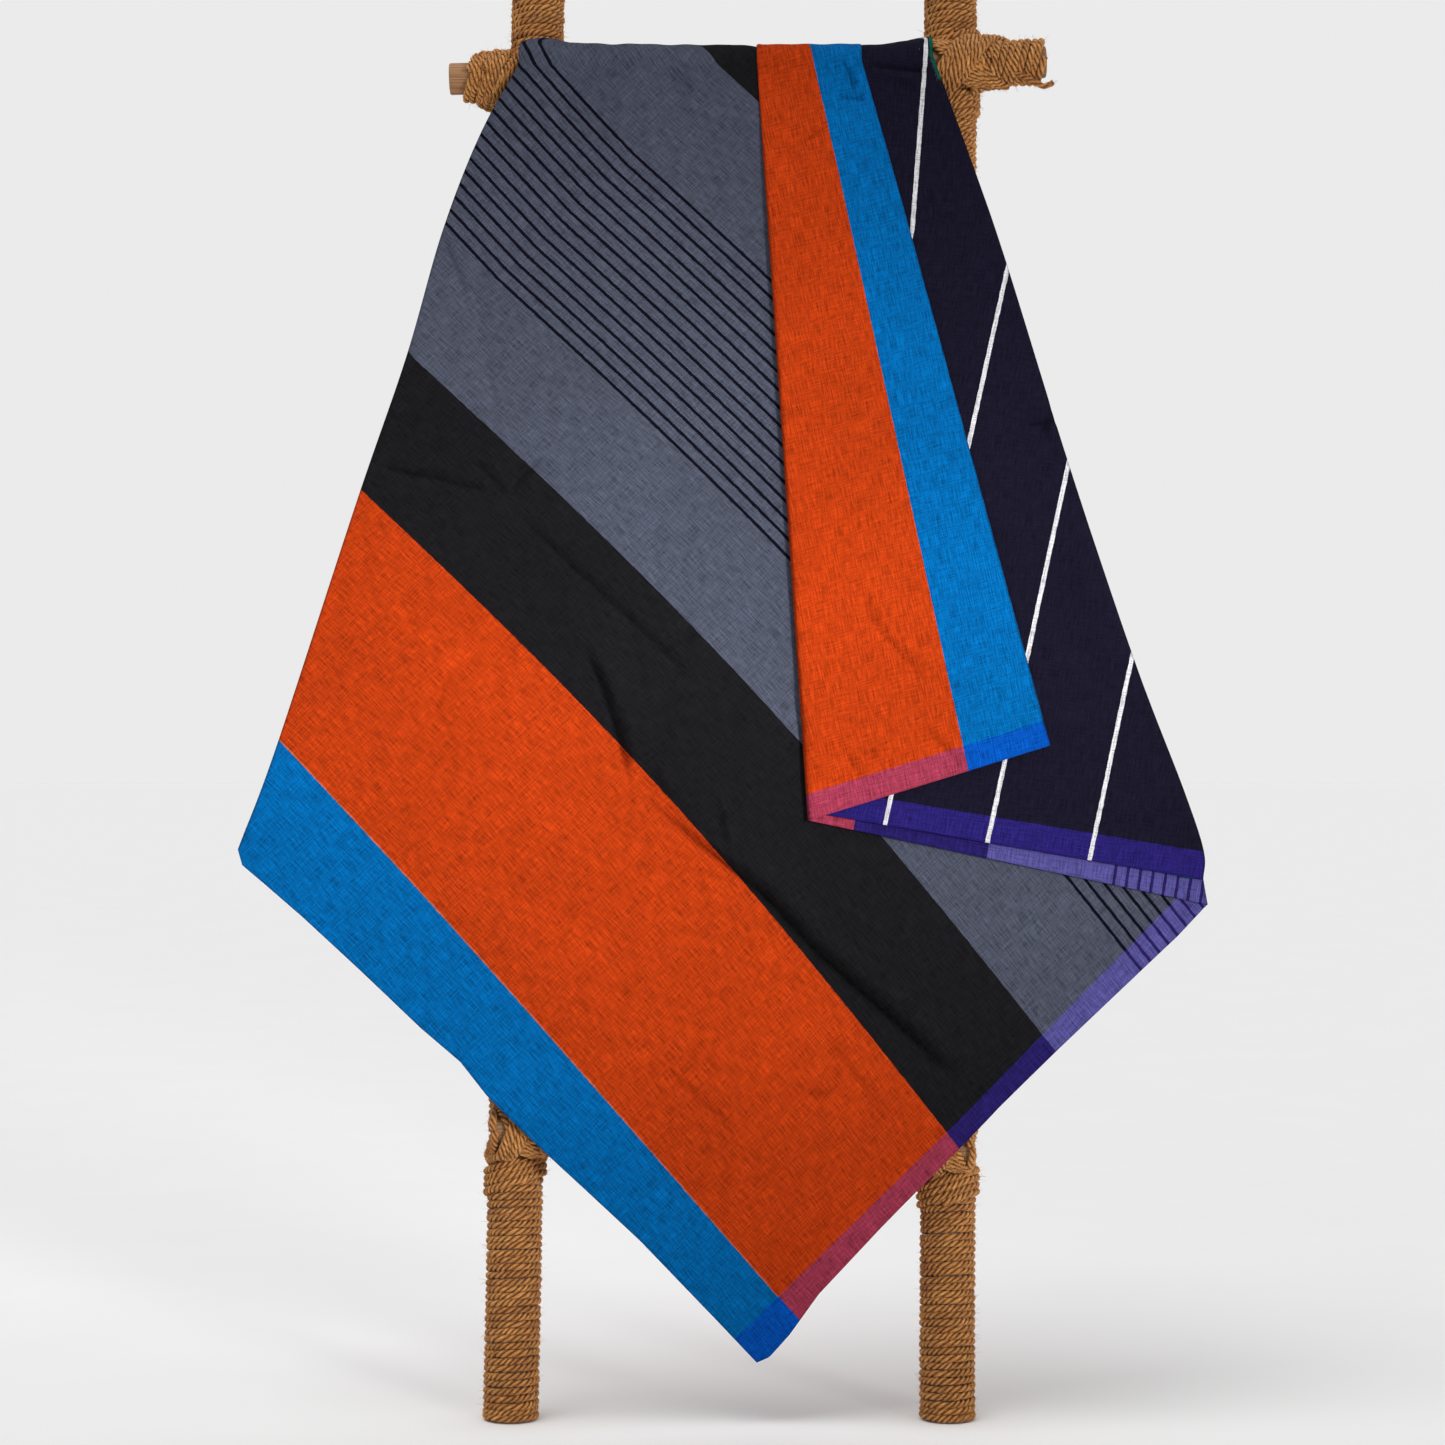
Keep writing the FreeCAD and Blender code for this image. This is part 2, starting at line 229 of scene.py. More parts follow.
def wood(name, light, dark, turn):
    """Raw round wood; turn brings the material's z axis along its grain."""
    s = Shader(name)
    local = s.node("Mapping", {"Vector": s.node("TexCoord", output=3), "Rotation": turn})
    long = s.stretched(local, (1, 1, 0.06))
    bend = s.noise(long, 38, 2, 0.5)
    pith = s.node("VectorMath", {0: long, 1: (0.02, 0.03, 0)}, operation="ADD")
    flat = s.node("VectorMath", {0: pith, 1: (1, 1, 0)}, operation="MULTIPLY")
    away = s.node("VectorMath", {0: flat}, output=1, operation="LENGTH")
    # 2600 radians to the metre puts the growth rings 2.4 mm apart.
    phase = s.math("ADD", s.math("MULTIPLY", away, 2600), s.math("MULTIPLY", bend, 30))
    rings = s.math("MULTIPLY_ADD", s.math("SINE", phase), 0.13, 0.5)
    pores = s.noise(s.stretched(local, (1, 1, 0.03)), 900, 3, 0.6)
    tone = s.math("ADD", rings, s.math("MULTIPLY_ADD", pores, 0.9, -0.45))
    middle = tuple((a + b) / 2 for a, b in zip(light, dark))
    colour = s.ramp(tone, [(0.25, dark), (0.5, middle), (0.8, light)])
    stain = s.ramp(s.noise(local, 22, 3, 0.6), [(0.35, srgb(196, 184, 170)), (0.6, WHITE)])
    colour = s.multiply(colour, stain, 0.7)
    return s.finish(colour, s.ramp(pores, [(0.3, 0.85), (0.7, 0.6)]), s.bump(tone, 0.0004, 0.6),
                    Specular_IOR_Level=0.35)


# The cloth's bands along its length: where each starts, its colour and its colour in the
# selvedge, where the warp changes and every weft shows through differently.
BLUE = srgb(0, 97, 163), srgb(2, 78, 174)
ORANGE = srgb(181, 57, 13), srgb(154, 54, 77)
BLACK = srgb(24, 23, 25), srgb(38, 28, 96)
GREY = srgb(74, 78, 93), srgb(84, 79, 144)
NAVY = srgb(23, 20, 37), srgb(38, 29, 104)
GREEN = srgb(16, 84, 72), srgb(16, 84, 72)
BANDS = [(0, BLUE), (88, ORANGE), (280.6, BLACK), (398, GREY), (775, BLACK), (892, ORANGE),
         (1084.5, BLUE), (1172.5, NAVY), (1716, GREEN)]
CLOTH_LENGTH = 1750
CLOTH_WIDTH = 1150
SELVEDGE = 22
# Lines across the bands: the places of the first and last, the gap between them and their width.
BLACK_LINES = 505, 668.5, 10.9, 2.7
WHITE_LINES = 1261, 1616, 88.7, 3.8
# A paler thread starts each of the bands at these places.
PALE_THREADS = 88, 892


def cotton():
    """Plain-woven cotton in stripes.  UV: x along the cloth and y across it, in metres."""
    s = Shader("striped_cotton")
    uv = s.node("UVMap", uv_map="flat")
    wobble = s.math("MULTIPLY_ADD", s.noise(uv, 160, 2, 0.5), 0.0012, -0.0006)
    split = s.node("SeparateXYZ", {0: uv})
    along = s.math("ADD", split, wobble)
    across = split.node.outputs[1]
    share = s.math("DIVIDE", along, CLOTH_LENGTH * MM)

    def bands(which):
        stops = [(start / CLOTH_LENGTH, colours[which]) for start, colours in BANDS]
        return s.ramp(share, stops, "CONSTANT")

    def lines(below, colour, first, last, gap, width):
        """Lines of a colour on what lies below, at every gap from first to last."""
        near = s.math("PINGPONG", s.math("SUBTRACT", along, first * MM), gap / 2 * MM)
        on = s.math("LESS_THAN", near, width / 2 * MM)
        inside = s.math("MULTIPLY", s.math("GREATER_THAN", along, (first - gap / 2) * MM),
                        s.math("LESS_THAN", along, (last + gap / 2) * MM))
        return s.mix(s.math("MULTIPLY", on, inside), below, (*colour, 1))

    colour = lines(bands(0), srgb(12, 12, 26), *BLACK_LINES)
    for start in PALE_THREADS:
        colour = lines(colour, srgb(190, 90, 56), start + 0.5, start + 0.5, 20, 1.2)
    near_edge = s.math("LESS_THAN", s.math("ADD", across, wobble), SELVEDGE * MM)
    far_edge = s.math("GREATER_THAN", across, (CLOTH_WIDTH - SELVEDGE) * MM)
    selvedge = lines(bands(1), srgb(40, 30, 90), *BLACK_LINES)
    colour = s.mix(s.math("MAXIMUM", near_edge, far_edge), colour, selvedge)
    colour = lines(colour, srgb(214, 212, 216), *WHITE_LINES)

    # Uneven yarns both ways, fine dark flecks, painted shade in the creases and a little fading.
    weft = s.noise(s.stretched(uv, (840, 62, 1)), 1.0, 2, 0.6)
    warp = s.noise(s.stretched(uv, (62, 840, 1)), 1.0, 2, 0.6)
    slubs = s.math("ADD", s.math("MULTIPLY", weft, 0.58), s.math("MULTIPLY", warp, 0.42))
    colour = s.multiply(colour, s.math("MAXIMUM", s.math("MULTIPLY_ADD", slubs, 3.1, -0.55), 0.4))
    flecks = s.noise(s.stretched(uv, (1100, 420, 1)), 1.0, 2, 0.6)
    colour = s.multiply(colour, s.ramp(flecks, [(0.58, 1.0), (0.70, 0.62)]))
    # Painted shade: the cloth darkens towards black along the fine creases.
    pressed = s.node("Attribute", attribute_name="crease", output=2)
    colour = s.mix(s.math("MULTIPLY", pressed, 0.36), colour, (0, 0, 0, 1))
    colour = s.multiply(colour, s.ramp(s.noise(uv, 9, 3, 0.55), [(0.3, 0.86), (0.7, 1.0)]))

    # 5200 radians to the metre makes each thread 0.6 mm wide.
    threads = s.math("MULTIPLY", s.math("SINE", s.math("MULTIPLY", along, 5200)),
                     s.math("SINE", s.math("MULTIPLY", across, 5200)))
    height = s.math("ADD", s.math("MULTIPLY", threads, 0.18), s.math("MULTIPLY", slubs, 3.0))
    crumple = s.bump(s.noise(uv, 60, 4, 0.6), 0.0035, 0.35)
    return s.finish(colour, 0.92, s.bump(height, 0.0005, 1.0, crumple), Specular_IOR_Level=0.05)


# ------------ mesh helpers

def tube_faces(rings, sides):
    """The faces of a tube with closed ends, whose points are listed ring by ring."""
    index = np.arange(rings * sides).reshape(rings, sides)
    after = np.roll(index, -1, axis=1)
    quads = np.stack([index[:-1], after[:-1], after[1:], index[1:]], axis=-1).reshape(-1, 4)
    return [tuple(face) for face in (*quads.tolist(), index[0][::-1].tolist(), index[-1].tolist())]


def unit(vectors):
    return vectors / np.linalg.norm(vectors, axis=1, keepdims=True)


class Strands:
    """Collects rope tubes and loose fibres into one mesh."""

    SIDES = 12

    def __init__(self):
        self.points, self.faces, self.uv = [], [], []
        self.count = 0

    def add(self, points, faces, uv):
        self.points.append(points)
        self.faces += [tuple(i + self.count for i in face) for face in faces]
        self.uv.append(uv)
        self.count += len(points)

    def rope(self, line, outward, radius=ROPE / 2, start=0.0, fibres=0.6):
        """A three-strand rope along a line.

        outward is a direction across it at each point, start is how much rope lies before it,
        and fibres is how many stand out of each millimetre.
        """
        steps = np.linalg.norm(np.diff(line, axis=0), axis=1)
        along = np.concatenate([[0], np.cumsum(steps)]) + start
        tangent = unit(np.gradient(line, axis=0))
        normal = unit(outward - (outward * tangent).sum(1, keepdims=True) * tangent)
        side = np.cross(tangent, normal)
        # One lobe for each strand, which turn along the rope, thicker here and thinner there.
        corner = np.arange(self.SIDES) / self.SIDES * TURN
        lobes = 0.58 + 0.48 * np.abs(np.cos(1.5 * corner)) ** 0.75
        swell = 1.09 + 0.11 * wave(along / 31) + 0.08 * wave(along / 9 + 40)
        angle = corner[None, :] + (along * TURN / LAY + 1.1 * wave(along / 53))[:, None]
        reach = radius * lobes[None, :] * swell[:, None]
        ring = (line[:, None, :] + (reach * np.cos(angle))[..., None] * normal[:, None, :]
                + (reach * np.sin(angle))[..., None] * side[:, None, :])
        count = len(line)
        strand = np.tile(1.5 - np.abs(corner / TURN - 0.5) * 3, count)
        uv = np.stack([np.repeat(along * MM, self.SIDES), strand], axis=1)
        self.add(ring.reshape(-1, 3), tube_faces(count, self.SIDES), uv)
        for _ in range(int((along[-1] - along[0]) * fibres)):
            i = random.integers(count)
            self.fibre(line[i], tangent[i], normal[i], side[i], radius, along[i])

    def fibre(self, middle, tangent, normal, side, radius, along):
        """A fine fibre that stands out of the rope: a thin, tapering tube."""
        rings, sides = 4, 3
        around = random.uniform(-2.2, 2.2)
        out = math.cos(around) * normal + math.sin(around) * side
        lie = random.choice([-1, 1]) * tangent + random.normal(0, 0.35, 3)
        length = random.uniform(2.5, 7.5)
        lift = random.uniform(0.12, 0.7)
        t = np.linspace(0, 1, rings)
        rising = length * lift * (t - random.uniform(0.1, 0.7) * t * t)
        curve = (middle + out * radius * 0.85 + (lie * length)[None, :] * t[:, None]
                 + out[None, :] * rising[:, None])
        thick = FIBRE_RADIUS * (1 - 0.75 * t)
        turn = np.arange(sides) / sides * TURN
        ring = (np.cos(turn)[None, :, None] * np.cross(lie, out)
                + np.sin(turn)[None, :, None] * out)
        points = curve[:, None, :] + thick[:, None, None] * ring
        u = np.repeat((along + length * t) * MM, sides)
        uv = np.stack([u, np.full(rings * sides, random.uniform(0, 3))], axis=1)
        self.add(points.reshape(-1, 3), tube_faces(rings, sides), uv)

    def piece(self, name, material):
        """Make the mesh, one smooth piece that stands for the CAD node of the same name."""
        points = from_ladder(np.concatenate(self.points))
        # Fibres that would go through the floor lie on it.
        points[:, 2] = np.maximum(points[:, 2], FLOOR_GAP)
        mesh = bpy.data.meshes.new(name)
        mesh.from_pydata(points.tolist(), [], self.faces)
        mesh.materials.append(material)
        mesh.shade_smooth()
        corner = np.zeros(len(mesh.loops), np.int32)
        mesh.loops.foreach_get("vertex_index", corner)
        uv = np.concatenate(self.uv).astype(np.float32)[corner]
        mesh.uv_layers.new(name="rope").uv.foreach_set("vector", uv.ravel())
        piece = add_object(name, mesh)
        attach(piece, "rack")
        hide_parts(name)


# ------------ ropes

def pole_turns(strands, side, low, high, floor=False, layer=0.0, slant=0.0):
    """Rope wound round a pole from low to high; all of a pole's turns are on one long helix.

    layer is how far outside the first turns they lie, and slant leans them across the front.
    """
    across = POLE_AT[side]
    radius = POLE_RADIUS + ROPE / 2 + layer
    # On the floor the rope starts with one level turn.
    first = low - ROPE if floor else low
    angle = np.arange(first / ROPE * TURN, high / ROPE * TURN, STEP / radius)
    # The turns are a little uneven in height and in how tight they lie.
    up = angle / TURN * ROPE
    seed = 0.0 if side == "left" else 50.0
    up = up + 0.65 * wave(angle / TURN / 3.3 + seed) + 0.4 * wave(angle / TURN * 1.1 + seed)
    up = up + slant * radius * np.sin(angle)
    spread = radius + 0.55 * wave(angle / TURN / 1.7 + seed) + 0.2
    forward = np.cos(angle) * spread
    if floor:
        # The lowest turns lie level on the floor, so they slope against the leaning pole.
        up = np.maximum(up, low)
        level = 1 - smooth(up, 12, 60)
        up = up + level * (-forward * SIN / COS)
    line = np.stack([across + np.sin(angle) * spread, forward, up], axis=1)
    outward = np.stack([np.sin(angle), np.cos(angle), np.zeros_like(angle)], axis=1)
    strands.rope(line, outward, start=low / ROPE * TURN * radius)


def windings(material):
    """The rope on the poles, between the floor, the lashings and the poles' tops."""
    for side, across in POLE_AT.items():
        for part in range(1, len(RUNGS) + 2):
            low, high = ROPE_BOTTOM + across * math.tan(SIDE), ROPE_TOP
            if part > 1:
                low = joint_height(part - 1, across) + LASHING / 2
            if part <= len(RUNGS):
                high = joint_height(part, across) - LASHING / 2
            strands = Strands()
            pole_turns(strands, side, low, high, floor=part == 1)
            strands.piece(f"{side}_winding_{part}", material)


def rung_turns(strands, rung, start, end, slant=0.0, loose=0.0, layer=0.0):
    """Rope wound round a rung between two places across.

    slant leans the turns, loose makes them uneven, and layer is how far out they lie.
    """
    radius = RUNG_RADIUS + ROPE / 2 + layer
    tilt = math.tan(math.radians(RUNGS[rung][1]))
    turns = max(1, round((end - start) / ROPE))
    angle = np.arange(0, turns * TURN, STEP / radius)
    across = start + angle / (turns * TURN) * (end - start)
    across = across + slant * radius * np.sin(angle)
    across = across + loose * wave(angle / TURN / 1.9 + start)
    spread = radius + 0.4 * wave(angle / TURN / 1.3 + start) + 0.8 * loose * (
        1 + wave(angle / TURN / 2.3 + start))
    up = joint_height(rung, 0) + across * tilt + np.sin(angle) * spread
    line = np.stack([across, RUNG_FORWARD + np.cos(angle) * spread, up], axis=1)
    outward = np.stack([np.zeros_like(angle), np.cos(angle), np.sin(angle)], axis=1)
    strands.rope(line, outward, start=start * 7.0)


def through(points, closed=False):
    """A smooth line through the given points, with a point about every STEP."""
    points = np.asarray(points, float)
    if closed:
        points = np.vstack([points[-1], points, points[:2]])
    else:
        points = np.vstack([2 * points[0] - points[1], points, 2 * points[-1] - points[-2]])
    t = np.linspace(0, 1, 24, endpoint=False)[:, None]
    pieces = []
    for a, b, c, d in zip(points, points[1:], points[2:], points[3:]):
        pieces.append(0.5 * (2 * b + (c - a) * t + (2 * a - 5 * b + 4 * c - d) * t ** 2
                             + (3 * b - a - 3 * c + d) * t ** 3))
    fine = np.vstack([*pieces, points[-2][None, :]])
    length = np.concatenate([[0], np.cumsum(np.linalg.norm(np.diff(fine, axis=0), axis=1))])
    even = np.linspace(0, length[-1], max(4, int(length[-1] / STEP)))
    return np.stack([np.interp(even, length, fine[:, k]) for k in range(3)], axis=1)


def cross_turn(strands, rung, across, lean, shift, layer, reach=20, offset=0):
    """One turn of a lashing: over the rung on the slant, and round behind the pole.

    lean is 1 if it crosses the rung from its lower left to its upper right, and -1 for the
    other diagonal; shift moves it sideways; layer is how far out it lies; reach is half its
    width on the rung and offset moves that part of it sideways.
    """
    height = joint_height(rung, across)
    over = RUNG_RADIUS + ROPE / 2 + layer
    behind = POLE_RADIUS + ROPE / 2 + layer
    points = []
    for degrees in (-100, -66, -33, 0, 33, 66, 100):
        turn = math.radians(degrees)
        points.append((across + lean * reach * degrees / 100 + shift + offset,
                       RUNG_FORWARD + over * math.cos(turn),
                       height + over * 1.12 * math.sin(turn)))
    # Behind, it comes down from the rung's upper side to its lower side.
    for degrees in (62, 100, 140, 180, 220, 260, 298):
        turn = math.radians(degrees)
        points.append((across + lean * math.sin(turn) * behind + shift * 0.2,
                       behind * math.cos(turn),
                       height + (1 - (degrees - 62) / 118) * over * 0.95 + shift * 0.7))
    line = through(points, closed=True)
    middle = np.array([across, RUNG_FORWARD / 2, height])
    strands.rope(line, line - middle, start=shift * 11)


def back_turns(strands, side, height, gap):
    """Turns round the back and sides of a pole, where a rung keeps the rope off its front."""
    radius = POLE_RADIUS + ROPE / 2
    bare = 55                 # degrees to each side of the front
    angle = np.arange(math.radians(bare), math.radians(360 - bare), STEP / radius)
    outward = np.stack([np.sin(angle), np.cos(angle), np.zeros_like(angle)], axis=1)
    across = POLE_AT[side] + np.sin(angle) * radius
    for level in np.arange(ROPE / 2 - gap, gap, ROPE):
        up = height + level + 0.5 * wave(angle + level)
        line = np.stack([across, np.cos(angle) * radius, up], axis=1)
        strands.rope(line, outward, start=level * radius)


# The crossed turns of the lashings that show: their shifts, half their width on the rung, how
# far inward that part lies, and how far the second diagonal lies outside the first.
CROSSINGS = {1: ((-7, -2, 3, 7), 15, 5, 2.6),
             TOP_RUNG: ((-14, -8.5, -3, 2.5, 8, 13.5), 26, -8, 4.6)}


def lashings(material):
    """At each joint: turns round the pole and the rung, and crossed turns over both."""
    for side, across in POLE_AT.items():
        inward = 1 if side == "left" else -1
        for rung in RUNGS:
            strands = Strands()
            height = joint_height(rung, across)
            top = rung == TOP_RUNG
            gap = RUNG_RADIUS - 1
            pole_turns(strands, side, height - LASHING / 2, height - gap)
            pole_turns(strands, side, height + gap, height + LASHING / 2)
            back_turns(strands, side, height, gap)
            ends = sorted((across + inward * 20, across + inward * 33))
            rung_turns(strands, rung, *ends)
            ends = sorted((across - inward * 15, across - inward * (31 if top else 18)))
            rung_turns(strands, rung, *ends, slant=0.15 if top else 0.05)
            if rung in CROSSINGS:
                shifts, reach, offset, layer = CROSSINGS[rung]
                for shift in shifts:
                    cross_turn(strands, rung, across, -1, shift, 0.0, reach, inward * offset)
                for shift in shifts:
                    shift = shift - 1 + random.uniform(-1, 1)
                    cross_turn(strands, rung, across, 1, shift, layer, reach, inward * offset)
                # More turns round the pole hold the crossed ones together.
                above = height - (17 if top else 24)
                pole_turns(strands, side, height - 46, above, layer=3.4, slant=0.3)
            else:
                for lean, layer in ((1, 0.0), (-1, 1.0)):
                    for shift in (-7, 0, 7):
                        cross_turn(strands, rung, across, lean, shift, layer)
            if top:
                pole_turns(strands, side, height + 21, height + 32, layer=3.0, slant=0.35)
            strands.piece(f"{side}_lashing_{rung}", material)


def end_windings(material):
    """The rope on the top rung's ends; the left one leaves the wood's end bare."""
    _, _, length, middle = RUNGS[TOP_RUNG]
    left, right = middle - length / 2, middle + length / 2
    strands = Strands()
    pole = POLE_AT["left"]
    rung_turns(strands, TOP_RUNG, left + 17, pole - 31, slant=0.34, loose=1.5, layer=0.4)
    rung_turns(strands, TOP_RUNG, left + 32, pole - 26, slant=0.42, loose=1.5, layer=4.0)
    strands.piece("left_end_winding", material)
    strands = Strands()
    rung_turns(strands, TOP_RUNG, POLE_AT["right"] + 31, right - 3, slant=0.2, loose=0.9)
    tail(strands, right)
    strands.piece("right_end_winding", material)


def tail(strands, end):
    """The cut end of the rope, hanging off the last turn."""
    steps = [(-30, 12, -13), (-20, 13, -19), (-10, 12, -24), (-2, 10, -25.5), (5, 9, -22)]
    height = joint_height(TOP_RUNG, end)
    line = through([(end + across, RUNG_FORWARD + forward, height + up)
                    for across, forward, up in steps])
    strands.rope(line, np.tile([0.2, 1.0, 0.1], (len(line), 1)), radius=2.5, fibres=2.2)


# ------------ the cloth

# The cloth is laid out in a plane parallel to the rails: x to the right of the middle between
# the feet, and h up the slope.  Each layer lies between two fold lines, and each fold line runs
# from its lower end up to the bend over the rung and down the back.
RUNG_H = RUNGS[TOP_RUNG][0]
RUNG_SLOPE = math.tan(math.radians(RUNGS[TOP_RUNG][1])) - math.tan(SIDE)
RUNG_MIDDLE = RUNGS[TOP_RUNG][3] + RUNG_H * math.sin(SIDE)
LAYOUT = 57                   # how far in front of the rails the layout plane lies
FRONT = 56                    # how far in front of them the broad front layer lies
PLUMB_BELOW = 230             # below this height no rung holds the cloth off plumb
FRONT_ROWS, BEND_ROWS, BACK_ROWS = 310, 16, 40
CLOTH_THICKNESS = 0.45

# Fold lines: points up the front from the lower end, x at the bend, and the end at the back
# (x, fall below the rung).
NAVY_EDGE = [(406.1, 455.1), (407, 480), (391, 532), (350, 645), (296, 817), (242, 1000),
             (216, 1081)]
FOLDS = {
    "left": ([(-422, 481), (-390, 571), (-324, 786), (-282, 915), (-251, 1029), (-219, 1113)],
             -185, (-93, 285)),
    "right": ([(410, 433.7), *[(x - 5, h) for x, h in NAVY_EDGE[1:]]], 176, (30, 400)),
    "flap_left": ([(67.6, 506.6)], 25, (-5, 432)),
    "flap_right": ([(275.4, 571.3)], 117.7, (12, 440)),
    "inner": ([(74.5, 513)], 66, (14, 430)),
    "navy_right": (NAVY_EDGE, 180.5, (44, 425)),
    # The free side edges of the parts turned under at the left and behind the navy layer.
    "under_edge": ([(92, 581)], 0, (-90, 287)),
    "hem_edge": ([(x - 19, h + 2) for x, h in NAVY_EDGE], 160, (36, 424)),
}
# The front fall's lower edge, from its left end down to the lowest corner and up to the right.
LOWER_LEFT = [(-418, 467.5), (-400, 452.5), (-366, 423.5), (-314, 376.5), (-262, 328.5),
              (-228, 300.5), (-205, 272.5), (-143, 212.5), (-75, 148.5), (-8, 78.5)]
LOWEST = (23.4, 45)
LOWER_RIGHT = [(34, 49.5), (51, 68.5), (76, 103.5), (127, 158.5), (157, 189.5),
               (229, 262.5), (281, 311.5), (332, 358.5), (384, 406.5)]


def rung_height(x):
    """The top rung's height in the layout plane."""
    return RUNG_H + (x - RUNG_MIDDLE) * RUNG_SLOPE


def direction(degrees):
    """A unit step at an angle from level, counted anticlockwise."""
    return np.array([math.cos(math.radians(degrees)), math.sin(math.radians(degrees))])


def flat_place(x, h, corner, along_start, along_angle, across_angle):
    """Where points of a layer lie in the flat cloth: along it and across it.

    corner is the layer's point at along_start and 0 across; the angles say which way the two
    directions of the weave run there.
    """
    along, across = direction(along_angle), direction(across_angle)
    area = along[0] * across[1] - along[1] * across[0]
    dx, dh = x - corner[0], h - corner[1]
    u = (dx * across[1] - dh * across[0]) / area + along_start
    v = (along[0] * dh - along[1] * dx) / area
    return u, v


def front_place(x, h):
    """The broad front layer.  The weft bows a little between the selvedges."""
    u, v = flat_place(x, h, FOLDS["right"][0][0], 585.5, 44.6, 132.45)
    bow = 20 * np.sin(math.pi * np.clip(v / 820, 0, 1)) * np.clip(u / 250, 0, 1)
    return u - bow, v


def under_place(x, h):
    """The part turned under at the left: the front layer's cloth, mirrored in the fold."""
    foot = FOLDS["left"][0][0]
    line = direction(71.5)
    dx, dh = x - foot[0], h - foot[1]
    along = dx * line[0] + dh * line[1]
    return front_place(foot[0] + 2 * along * line[0] - dx, foot[1] + 2 * along * line[1] - dh)


def second_place(x, h):
    return flat_place(x, h, FOLDS["right"][0][0], 585.5, 168.7, 80.6)


def flap_place(x, h):
    return flat_place(x, h, FOLDS["flap_left"][0][0], 943, 17.3, 101.6)


def inner_place(x, h):
    return flat_place(x, h, FOLDS["flap_right"][0][0], 1180, 190.4, 75.0)


def navy_place(x, h):
    # Towards the bend the threads swing upright, by up to 40 mm.
    swing = 23 * np.clip(h - 1027, 0, None) / 163
    u, v = flat_place(x + np.minimum(swing, 40), h, FOLDS["inner"][0][0], 1378.6, -9.55, 77.3)
    # The end band shows as a sliver where the right edge turns over at the bend.
    turned = (x > 177 + 0.31 * np.clip(1186 - h, 0, None)) & (h > 1164)
    return np.where(turned, CLOTH_LENGTH - 20, u), v


def hem_place(x, h):
    """The turned-under end band behind the navy layer."""
    u, v = flat_place(x, h, FOLDS["navy_right"][0][0], 1716, 197, 107)
    return np.clip(u, 1718, CLOTH_LENGTH), v


# From the rung outwards, each layer's distance in front of the broad front layer, in the
# middle of the fall and where the stack is pressed together at the bend.
DEPTHS = {"under": (-2.4, -0.62), "front": (0, 0), "second": (3.0, 0.62), "hem": (4.4, 1.1),
          "navy": (5.8, 1.7), "inner": (7.6, 2.3), "flap": (9.6, 2.9)}


class Layer(NamedTuple):
    """A layer between two fold lines, each shared with a neighbour or else a free edge."""

    name: str
    place: Callable           # from the layout plane to the flat cloth
    left: tuple
    right: tuple
    columns: int
    neighbours: tuple         # on the left and on the right
    bottom: tuple = ()        # the lower edge between the fold lines' lower ends


LAYERS = [
    Layer("under", under_place, FOLDS["left"], FOLDS["under_edge"], 100, ("front", None)),
    Layer("front", front_place, FOLDS["left"], FOLDS["right"], 340, ("under", "second"),
          (*LOWER_LEFT, LOWEST, *LOWER_RIGHT)),
    Layer("second", second_place, FOLDS["flap_left"], FOLDS["right"], 52, ("flap", "front")),
    Layer("flap", flap_place, FOLDS["flap_left"], FOLDS["flap_right"], 64, ("second", "inner")),
    Layer("inner", inner_place, FOLDS["inner"], FOLDS["flap_right"], 20, ("navy", "flap")),
    Layer("navy", navy_place, FOLDS["inner"], FOLDS["navy_right"], 84, ("inner", "hem")),
    Layer("hem", hem_place, FOLDS["hem_edge"], FOLDS["navy_right"], 6, (None, "navy")),
]
# These layers show the cloth's other side.
BACK_TO_FRONT = "second", "inner", "under", "hem"
# Pairs of layers joined at a fold, with the column of each that lies on it.
SEAMS = [("under", 0, "front", 0), ("front", -1, "second", -1), ("second", 0, "flap", 0),
         ("flap", -1, "inner", -1), ("inner", 0, "navy", 0), ("navy", -1, "hem", -1)]


def rise(x):
    """How far the innermost front layer runs above the rung's axis at the bend."""
    above = np.interp(x, [-200, -175, -150, -60, 0, 30, 60, 100, 150, 170, 190],
                      [34.5, 34.0, 29.0, 25.0, 23.0, 20.2, 18.8, 17.8, 18.0, 21.5, 25.5])
    return above + 0.8 * wave(x / 47)


def squeezed(x):
    """Across the rung the cloth is gathered to fit between the poles."""
    middle, free, share = 10.7, 90, 0.52
    away = np.abs(x - middle)
    return middle + np.sign(x - middle) * np.where(away < free, away, free + (away - free) * share)
